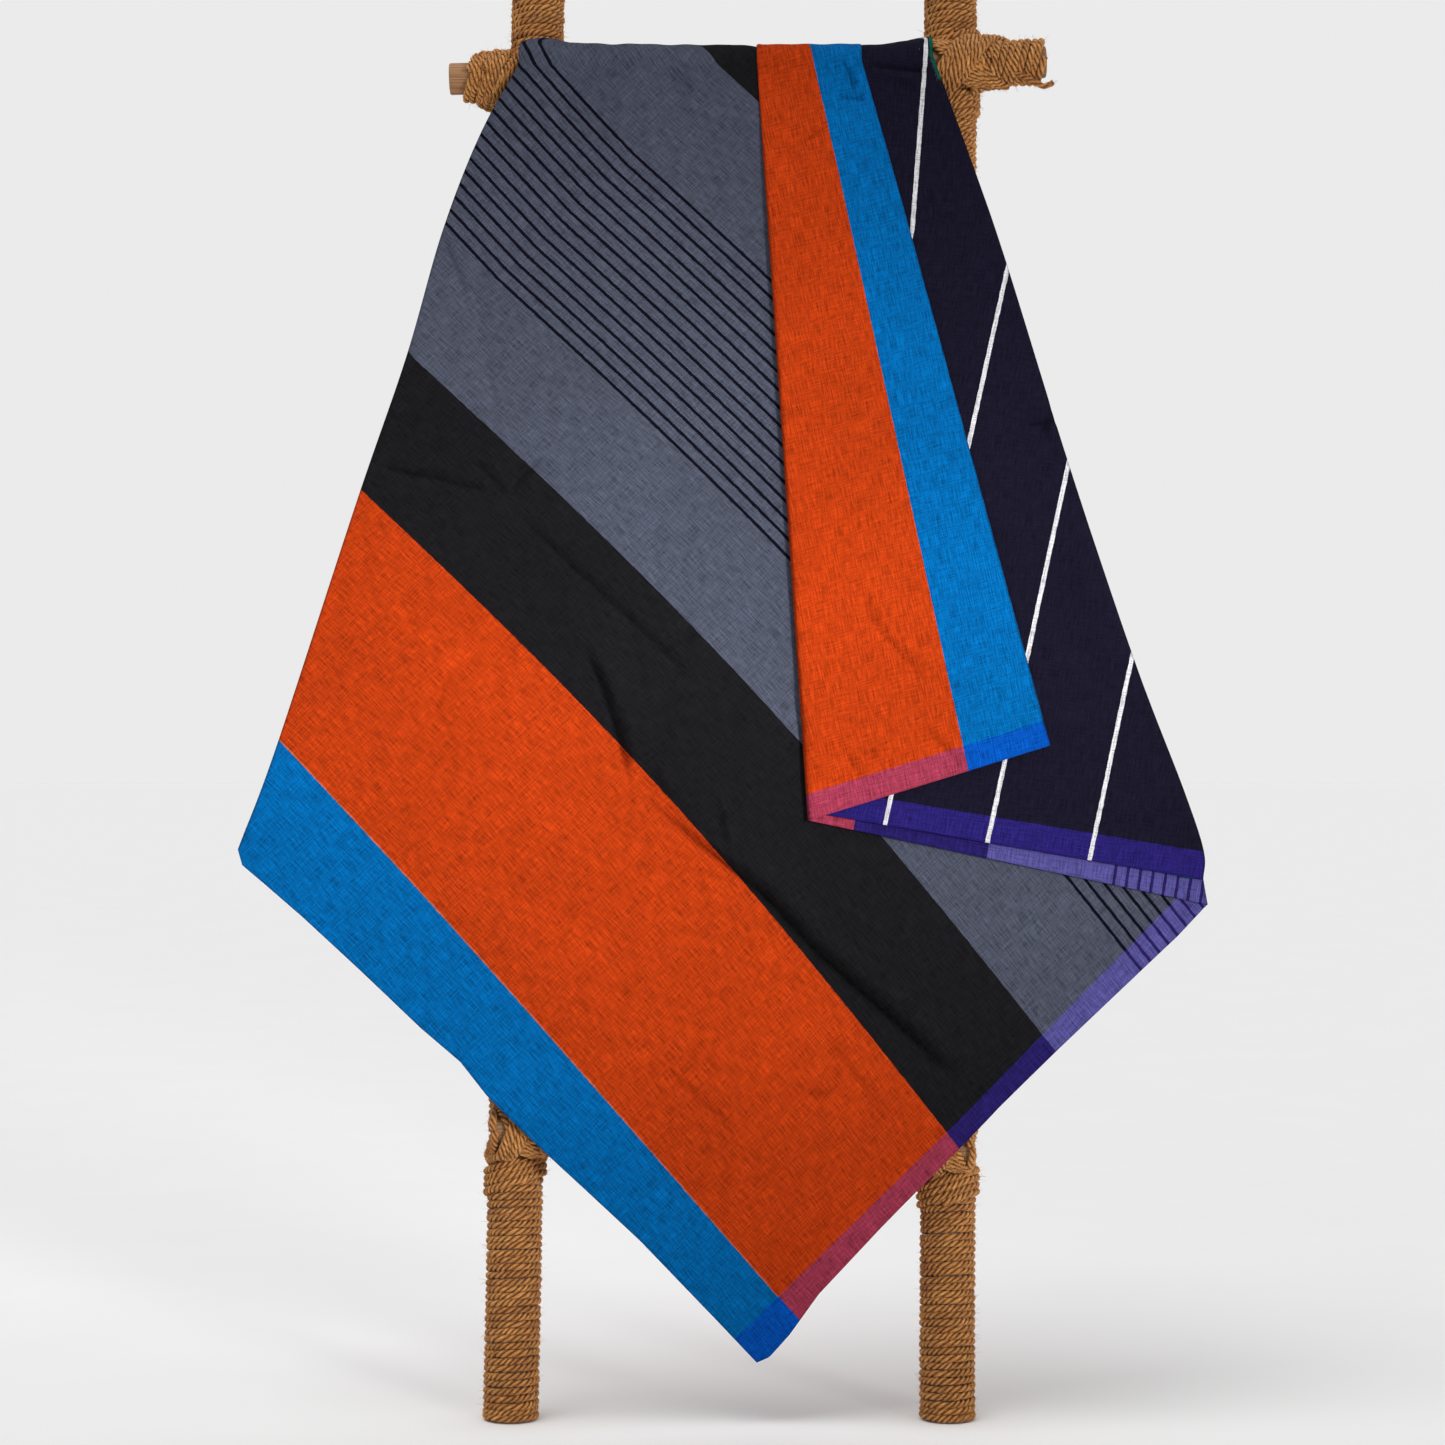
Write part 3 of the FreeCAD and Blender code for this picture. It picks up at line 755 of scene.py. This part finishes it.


# Creases in the layers' front falls: the points of a line (x, h), its half width and its
# height.  Fine hollow ones also get painted shade.
CREASES = {
    "front": [
        ([(-310, 818), (-251, 805), (-205, 793)], 4, -3.4),
        ([(-192, 782), (-131, 724), (-77, 674), (-25, 622)], 4, -3.4),
        ([(-222, 823), (-192, 791)], 3.5, -2.8),
        ([(-160, 826), (-190, 793)], 3.5, -2.5),
        ([(-127, 664), (-106, 615), (-83, 536)], 4.5, -5.0),
        ([(-118, 668), (-95, 615), (-72, 540)], 12, 4.7),
        ([(-239, 639), (-254, 594)], 3.3, -1.9),
        ([(-90, 540), (-24, 485), (27, 445), (75, 393), (145, 331), (208, 272)], 4.2, -6.5),
        ([(-18, 494), (37, 454), (86, 402), (155, 341), (214, 284)], 11, 7.0),
        ([(75, 331), (133, 257)], 3.3, -2.0),
        ([(63, 276), (86, 273)], 3.3, -1.9),
        ([(-58, 297), (11, 238)], 3.3, -2.2),
        ([(-251, 1023), (-229, 969)], 3.3, -2.2),
        ([(-8, 533), (5, 481)], 4, 2.8),
        ([(22, 541), (-8, 498)], 4, 2.8),
        ([(-60, 556), (-48, 528)], 5, 3.1),
        ([(-231, 1022), (-199, 839)], 5, -1.4),
        ([(-146, 698), (-68, 576)], 16, 3.4),
        ([(-111, 593), (-33, 498)], 14, -3.7),
        ([(-200, 520), (-60, 450)], 20, 3.7),
        ([(-230, 470), (-80, 390)], 18, -4.0),
        ([(-149, 1154), (-104, 1100)], 12, -3.7),
        ([(-107, 1186), (-100, 1165)], 9, -6.2),
        ([(-56, 1186), (-34, 1145)], 9, -5.6),
        ([(-300, 700), (-180, 640)], 22, -3.1),
        ([(-75, 352), (-12, 362), (50, 396)], 7, 2.6),
        ([(-52, 376), (0, 388), (40, 418)], 6, 2.4),
        ([(-95, 405), (-40, 420), (8, 452)], 7, 2.6),
        ([(-86, 440), (-45, 455), (-12, 486)], 6, 2.4),
    ],
    "flap": [
        ([(109, 715), (130, 671), (177, 619)], 3.3, -2.5),
        ([(95, 575), (118, 535)], 3.3, -1.9),
        ([(164, 592), (202, 551)], 3.3, -2.0),
        ([(53, 628), (68, 558)], 3.3, -1.9),
        ([(98, 1191), (107, 1172), (113, 1150)], 4, -3.7),
        ([(96, 1150), (122, 1147)], 4, -3.4),
        ([(63, 1104), (85, 1120)], 3.3, -1.9),
        ([(60, 1080), (112, 1085)], 12, 2.8),
    ],
    "navy": [
        ([(323, 846), (288, 857), (253, 852)], 4, -3.7),
        ([(322, 858), (288, 869)], 8, 4.0),
        ([(288, 880), (270, 842)], 4, -2.8),
        ([(122, 1181), (178, 1172)], 3.5, -4.0),
        ([(122, 1174), (176, 1164)], 6, 3.1),
        ([(300, 760), (340, 620)], 18, 3.4),
    ],
}
# A crease pressed into a layer is pressed into the layers inside it too.
INSIDE_OF = {"front": (), "navy": ("hem", "second", "front"),
             "flap": ("inner", "navy", "hem", "second", "front")}
# Soft swellings of every layer over rung_1's lashings: x, h, half width, half height, height.
SWELLINGS = [(-172, 250, 55, 45, 6), (190, 250, 50, 45, 5)]


def crease(x, h, points, width):
    """The share of a crease along a line of points: 1 in its middle, 0 away from it."""
    points = np.array(points, float)
    legs = np.linalg.norm(np.diff(points, axis=0), axis=1)
    near = np.full(x.shape, 1e9)
    place = np.zeros(x.shape)
    done = 0.0
    for (x0, h0), (x1, h1), leg in zip(points, points[1:], legs):
        t = np.clip(((x - x0) * (x1 - x0) + (h - h0) * (h1 - h0)) / leg ** 2, 0, 1)
        away = np.hypot(x - x0 - t * (x1 - x0), h - h0 - t * (h1 - h0))
        closer = away < near
        near = np.where(closer, away, near)
        place = np.where(closer, (done + t * leg) / legs.sum(), place)
        done += leg
    return smooth(place, 0, 0.25) * (1 - smooth(place, 0.8, 1)) * np.exp(-(near / width) ** 2)


def painted_crease_shade(x, h, layer):
    """How much painted shade each point has from sharp creases, about 1 in the middle of most."""
    marks = np.zeros(x.shape)
    for points, width, height in CREASES.get(layer, []):
        if height < 0 and width < 5:
            # A deeper crease gets more painted shade.
            shade = min(max(-height / 3.2, 0.6), 2.2)
            marks = np.maximum(marks, shade * crease(x, h, points, 1.8))
    return marks


def relief(x, h, layer):
    """How far creases and soft swellings move a layer's front fall forward."""
    out = 2.2 * np.sin(x / 97 + h / 163) * np.sin(h / 141 - 1.1) + 1.2 * np.sin(x / 53 - h / 88 + 2)
    out = out * (1 - smooth(h, rung_height(x) - 60, rung_height(x)))
    for x0, h0, wide, tall, height in SWELLINGS:
        out = out + height * np.exp(-((x - x0) / wide) ** 2 - ((h - h0) / tall) ** 2)
    for creased, lines in CREASES.items():
        for points, width, height in lines:
            if creased == layer or (height < 0 and layer in INSIDE_OF[creased]):
                out = out + height * crease(x, h, points, width)
    return out * (1 - smooth(h, rung_height(x) - 14, rung_height(x)))


def forward_of(x, h, middle_depth, bend_depth, layer):
    """How far in front of the rails a point of the front fall lies."""
    bend = rung_height(x)
    near = smooth(h, bend - 150, bend)
    base = FRONT * (1 - near) + (RUNG_FORWARD + rise(x)) * near
    depth = middle_depth * (1 - near) + bend_depth * near
    # It hangs off the lowest rung, and its sides fall back a little past the rails.
    drop = np.log1p(np.exp(-(h - PLUMB_BELOW) / 26)) * 26 * math.tan(LEAN)
    wing = 13 * smooth(np.abs(x - 6) - 195, 0, 230) * (1 - near)
    return base + depth - drop - wing + relief(x, h, layer)


def sheet_points(x, h, fall, middle_depth, bend_depth, layer):
    """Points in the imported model's axes, but in millimetres from the middle between the feet.

    x and h are places in the layout plane; fall is negative on the front, 0 to 1 round the
    bend, and above 1 the fall in millimetres plus 1 at the back.
    """
    rung = rung_height(x)
    forward = forward_of(x, np.minimum(h, rung), middle_depth, bend_depth, layer)
    front = np.stack([x, h * SIN - forward * COS, h * COS + LAYOUT * SIN], axis=-1)
    radius = rise(x) + bend_depth
    centre_back = rung * SIN - RUNG_FORWARD * COS
    centre_up = rung * COS + RUNG_FORWARD * SIN
    # The front meets the bend: blend the last stretch so that both give the same point.
    start = np.stack([x, centre_back - radius * COS, centre_up + radius * SIN], axis=-1)
    flat_start = np.stack([x, rung * SIN - (RUNG_FORWARD + radius) * COS,
                           rung * COS + LAYOUT * SIN], axis=-1)
    front = front + smooth(h, rung - 70, rung)[..., None] * (start - flat_start)
    turn = LEAN + np.clip(fall, 0, 1) * (math.pi - LEAN)
    gather = smooth(fall, np.where(x < 0, 0.22, 0.33), np.where(x < 0, 0.72, 0.78))
    across = x + (squeezed(x) - x) * gather
    back_radius = RUNG_RADIUS + 3.4 + 1.2 * bend_depth
    radius = radius + (back_radius - radius) * smooth(fall, 0.35, 1.0)
    down = np.maximum(fall - 1, 0)
    over = np.stack([across, centre_back - radius * np.cos(turn),
                     centre_up + radius * np.sin(turn) - down], axis=-1)
    return np.where((fall < 0)[..., None], front, over)


def edge_columns(count, corner=None):
    """Places from 0 to 1 across a layer; with a corner, one column runs exactly to it."""
    if corner is None:
        return np.linspace(0, 1, count)
    low = max(2, round(count * corner))
    high = count - low + 1
    return np.concatenate([np.linspace(0, corner, low), np.linspace(corner, 1, high)[1:]])


def fold_line(fold):
    """A fold's front points at even steps of height, from its lower end to the bend."""
    points = [*fold[0], (fold[1], rung_height(fold[1]))]
    if len(points) > 2:
        points = through([(*p, 0) for p in points])[:, :2]
    points = np.array(points)
    share = (points[:, 1] - points[0, 1]) / (points[-1, 1] - points[0, 1])
    t = np.linspace(0, 1, FRONT_ROWS)
    return np.stack([np.interp(t, share, points[:, k]) for k in range(2)], axis=1)


def layer_grid(layer):
    """x, h, fall and the place in the flat cloth of a layer's grid of points."""
    left, right = layer.left, layer.right
    lines = fold_line(left), fold_line(right)
    corners = np.array([lines[0][0], *layer.bottom, lines[1][0]])
    legs = np.linalg.norm(np.diff(corners, axis=0), axis=1)
    marks = np.concatenate([[0], np.cumsum(legs)]) / legs.sum()
    s = edge_columns(layer.columns, marks[len(LOWER_LEFT) + 1] if layer.bottom else None)
    low = np.stack([np.interp(s, marks, corners[:, k]) for k in range(2)], axis=1)
    top_x = left[1] + (right[1] - left[1]) * s
    top = np.stack([top_x, rung_height(top_x)], axis=1)
    t = np.linspace(0, 1, FRONT_ROWS)[:, None, None]
    front = low[None] * (1 - t) + top[None] * t
    for line, weight in zip(lines, (1 - s, s)):
        bow = line - (line[0] * (1 - t[:, 0]) + line[-1] * t[:, 0])
        front = front + bow[:, None, :] * weight[None, :, None]
    end_x = left[2][0] + (right[2][0] - left[2][0]) * s
    end_fall = left[2][1] + (right[2][1] - left[2][1]) * s
    turn = np.linspace(0, 1, BEND_ROWS + 1)[1:, None]
    back = np.linspace(0, 1, BACK_ROWS + 1)[1:, None]
    x = np.concatenate([front[..., 0], top_x + 0 * turn, top_x + (end_x - top_x) * back])
    h = np.concatenate([front[..., 1], top[:, 1] + 0 * turn, top[:, 1] + 0 * back])
    fall = np.concatenate([np.full(front.shape[:2], -1.0), turn + 0 * top_x, 1 + end_fall * back])
    # Round the bend and behind it, the cloth goes on in a straight line in the layout plane.
    past = np.concatenate([np.zeros(front.shape[:2]), 50 * turn + 0 * top_x, 50 + end_fall * back])
    flat = np.stack(layer.place(x, h + past), axis=-1)
    fall[FRONT_ROWS - 1] = 0
    return x, h, fall, flat


def fold_depths(x, h, layer, which):
    """Depth of each column: the layer's own, turning towards its neighbours' at its folds."""
    step = np.hypot(np.diff(x, axis=1), np.diff(h, axis=1))
    from_left = np.concatenate([np.zeros((len(x), 1)), np.cumsum(step, axis=1)], axis=1)
    own = DEPTHS[layer.name][which]
    depth = np.zeros_like(x) + own
    for neighbour, away in zip(layer.neighbours, (from_left, from_left[:, -1:] - from_left)):
        if neighbour:
            half = (DEPTHS[neighbour][which] - own) / 2
            reach = np.abs(half) * 1.6
            e = np.clip(away / np.maximum(reach, 1e-6), 0, 1)
            depth = depth + half * (1 - np.sqrt(np.clip(1 - (1 - e) ** 2, 0, 1)))
    return depth


def build_cloth(material):
    """The cloth, one sheet: neighbouring layers are welded together at their fold."""
    points, faces, uvs, shades = [], [], [], []
    grids = {}
    count = 0
    for layer in LAYERS:
        x, h, fall, flat = layer_grid(layer)
        creased = "front" if layer.name == "under" else layer.name
        place = sheet_points(x, h, fall, fold_depths(x, h, layer, 0), fold_depths(x, h, layer, 1),
                             creased)
        index = np.arange(x.size).reshape(x.shape) + count
        count += x.size
        grids[layer.name] = index
        points.append(place.reshape(-1, 3))
        shades.append((painted_crease_shade(x, h, layer.name) * (fall < 0)).ravel())
        uvs.append(flat.reshape(-1, 2) * MM)
        quads = [index[:-1, :-1], index[:-1, 1:], index[1:, 1:], index[1:, :-1]]
        if layer.name in BACK_TO_FRONT:
            quads = quads[::-1]
        faces += np.stack(quads, axis=-1).reshape(-1, 4).tolist()
    points = np.concatenate(points) * MM + FEET
    # Joined layers share their points, and each keeps its own place in the flat cloth.
    same = np.arange(count)
    for first, column_a, second, column_b in SEAMS:
        for a, b in zip(grids[first][:, column_a], grids[second][:, column_b]):
            same[b] = a
            points[a] = (points[a] + points[b]) / 2
    corners = np.array(faces)
    used, numbers = np.unique(same[corners], return_inverse=True)
    mesh = bpy.data.meshes.new("draped_cloth")
    mesh.from_pydata(points[used].tolist(), [], numbers.reshape(-1, 4).tolist())
    mesh.materials.append(material)
    mesh.shade_smooth()
    uv = np.concatenate(uvs)[corners.ravel()].astype(np.float32)
    mesh.uv_layers.new(name="flat").uv.foreach_set("vector", uv.ravel())
    # The painted crease shade goes to the material as the crease attribute.
    shade = np.concatenate(shades)[used].astype(np.float32)
    mesh.attributes.new("crease", "FLOAT", "POINT").data.foreach_set("value", shade)
    piece = add_object("draped_cloth", mesh)
    solid = piece.modifiers.new("thickness", "SOLIDIFY")
    solid.thickness = CLOTH_THICKNESS * MM
    solid.offset = 0
    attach(piece, "cloth")
    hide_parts("cloth")


# ------------ wood, stage and camera

def woodwork():
    """The rails and rungs keep their CAD shapes and get wood materials."""
    rail_wood = wood("pole_wood", srgb(176, 160, 138), srgb(120, 106, 92), (LEAN, 0, 0))
    rung_wood = wood("rung_wood", srgb(192, 146, 102), srgb(136, 98, 66), (0, math.pi / 2, 0))
    for name in ("left_rail", "right_rail", "top_rung", "rung_1", "rung_2", "rung_3"):
        slots = nodes[name].data.materials
        slots.clear()
        slots.append(rail_wood if name.endswith("rail") else rung_wood)


def backdrop():
    """White behind the ladder, and a darker room on the viewer's side."""
    world = bpy.data.worlds.new("studio")
    world.use_nodes = True
    tree = world.node_tree
    place = tree.nodes.new("ShaderNodeTexCoord")
    split = tree.nodes.new("ShaderNodeSeparateXYZ")
    ramp = tree.nodes.new("ShaderNodeMapRange")
    levels = {"From Min": -0.5, "From Max": 0.6, "To Min": 0.28, "To Max": 0.83}
    for socket, value in levels.items():
        ramp.inputs[socket].default_value = value
    tree.links.new(place.outputs["Generated"], split.inputs[0])
    tree.links.new(split.outputs["Y"], ramp.inputs["Value"])
    tree.links.new(ramp.outputs[0], tree.nodes["Background"].inputs["Color"])
    bpy.context.scene.world = world


def pale_floor():
    far = 30
    mesh = bpy.data.meshes.new("floor")
    mesh.from_pydata([(-far, -far, 0), (far, -far, 0), (far, far, 0), (-far, far, 0)], [],
                     [(0, 1, 2, 3)])
    s = Shader("floor")
    grain = s.noise(s.node("TexCoord", output=3), 6, 2, 0.5)
    tone = s.ramp(grain, [(0.3, 0.895), (0.7, 0.905)])
    mesh.materials.append(s.finish(tone, 0.9, s.bump(grain, 0.0005, 0.1), Specular_IOR_Level=0.1))
    floor = add_object("floor", mesh)


def lights():
    """A broad soft light from above, and a row of soft spots from the front right."""
    data = bpy.data.lights.new("key", "SUN")
    data.energy = 1.26
    data.angle = math.radians(40)
    add_object("key", data).rotation_euler = (math.radians(11), math.radians(-14), 0)
    towards = Vector((-1.6, 2.6, -0.4))
    for number, across in enumerate((-0.38, 0, 0.38)):
        data = bpy.data.lights.new(f"front_{number}", "SPOT")
        data.energy = 245
        data.spot_size = math.radians(22)
        data.spot_blend = 1.0
        data.shadow_soft_size = 0.4
        spot = add_object(f"front_{number}", data)
        spot.location = Vector((FEET[0] + across, FEET[1], 0.66)) - towards
        spot.rotation_euler = towards.to_track_quat("-Z", "Y").to_euler()


def camera():
    """A long lens looking level at the front, 2.9 m in front of the feet."""
    data = bpy.data.cameras.new("camera")
    data.sensor_width = 36
    data.lens = 84.8
    made = add_object("camera", data)
    made.location = (FEET[0] - 0.0055, FEET[1] - 2.9, 0.5934)
    made.rotation_euler = (math.pi / 2, 0, 0)
    bpy.context.scene.camera = made
    bpy.context.scene.view_settings.view_transform = "Standard"


rope_material = jute()
windings(rope_material)
lashings(rope_material)
end_windings(rope_material)
build_cloth(cotton())
woodwork()
backdrop()
pale_floor()
lights()
camera()
